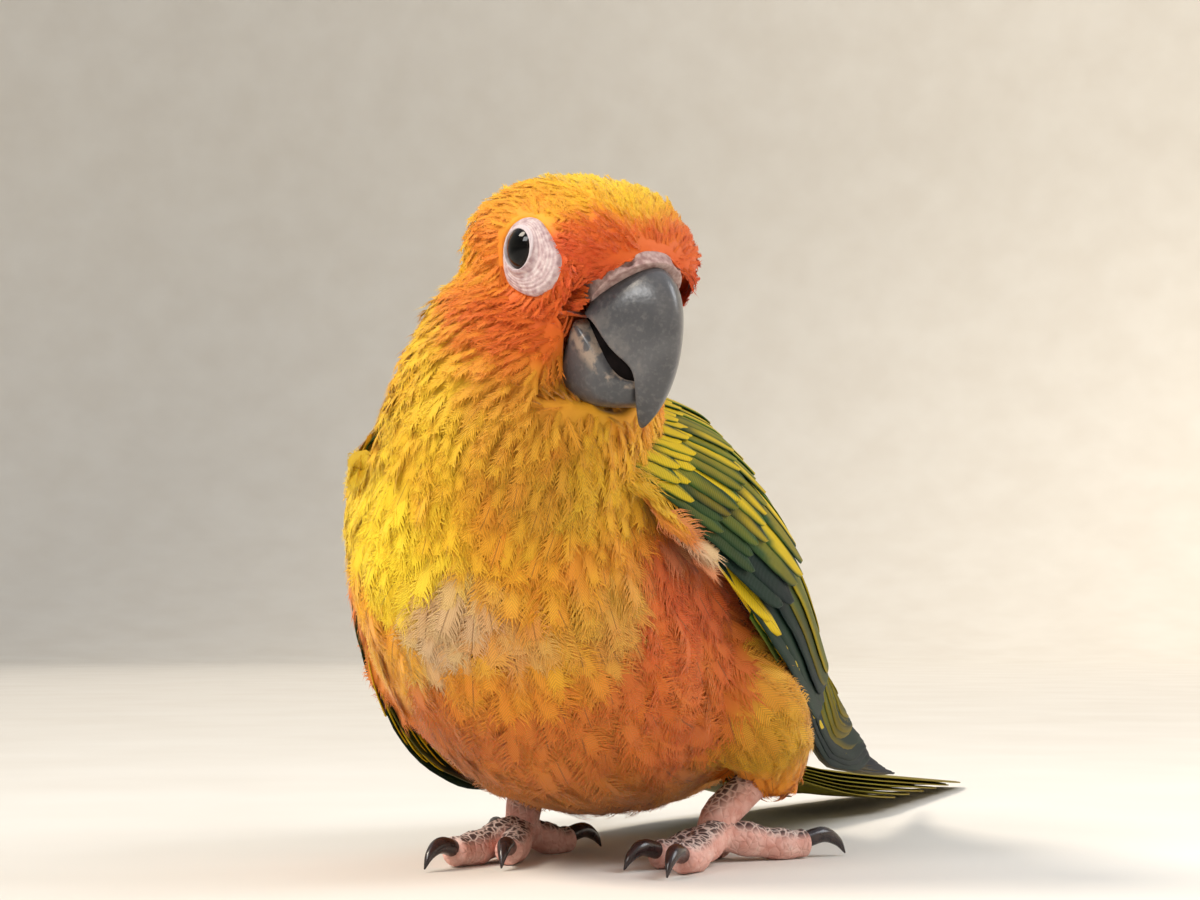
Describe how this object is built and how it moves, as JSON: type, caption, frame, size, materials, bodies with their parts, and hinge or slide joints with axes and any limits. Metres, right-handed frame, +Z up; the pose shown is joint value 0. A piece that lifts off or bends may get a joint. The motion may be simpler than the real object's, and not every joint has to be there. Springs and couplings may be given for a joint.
{
  "type": "sun conure",
  "caption": "Small yellow and orange parrot, crouched with folded green wings and long tail, head turned over its left shoulder, standing on the floor.",
  "frame": {"origin": "on the floor, under the middle of the bounding box", "axes": "+Z up, +Y towards the tail along the bird's length, +X to the bird's left; the breast faces -Y"},
  "size_m": [0.0658, 0.2242, 0.0945],
  "materials": {
    "body_feathers": "soft small contour feathers, yellow to red-orange",
    "wing_feathers": "smooth overlapping vanes, green, yellow and blue-black, faint sheen",
    "tail_feathers": "smooth long vanes, olive and dark blue, faint sheen",
    "foot_skin": "matt scaled skin with grey-brown scutes",
    "bare_face_skin": "matt, finely wrinkled pale skin",
    "bill_horn": "semi-gloss charcoal horn with fine scuffs",
    "claw_horn": "glossy dark brown-black horn",
    "eye": "wet glossy, dark brown iris and black pupil"
  },
  "bodies": {
    "root": {"head": "body_feathers", "neck": "body_feathers", "torso": "body_feathers", "thigh_left": "body_feathers", "thigh_right": "body_feathers", "wing_left": "wing_feathers", "wing_right": "wing_feathers", "tail": "tail_feathers", "foot_left": "foot_skin", "eye_left": "eye", "eye_ring_left": "bare_face_skin", "claw_left_inner_front": "claw_horn", "claw_left_outer_front": "claw_horn", "claw_left_inner_back": "claw_horn", "claw_left_outer_back": "claw_horn", "foot_right": "foot_skin", "eye_right": "eye", "eye_ring_right": "bare_face_skin", "claw_right_inner_front": "claw_horn", "claw_right_outer_front": "claw_horn", "claw_right_inner_back": "claw_horn", "claw_right_outer_back": "claw_horn", "cere": "bare_face_skin", "bill_upper": "bill_horn", "bill_lower": "bill_horn"}
  },
  "joints": []
}
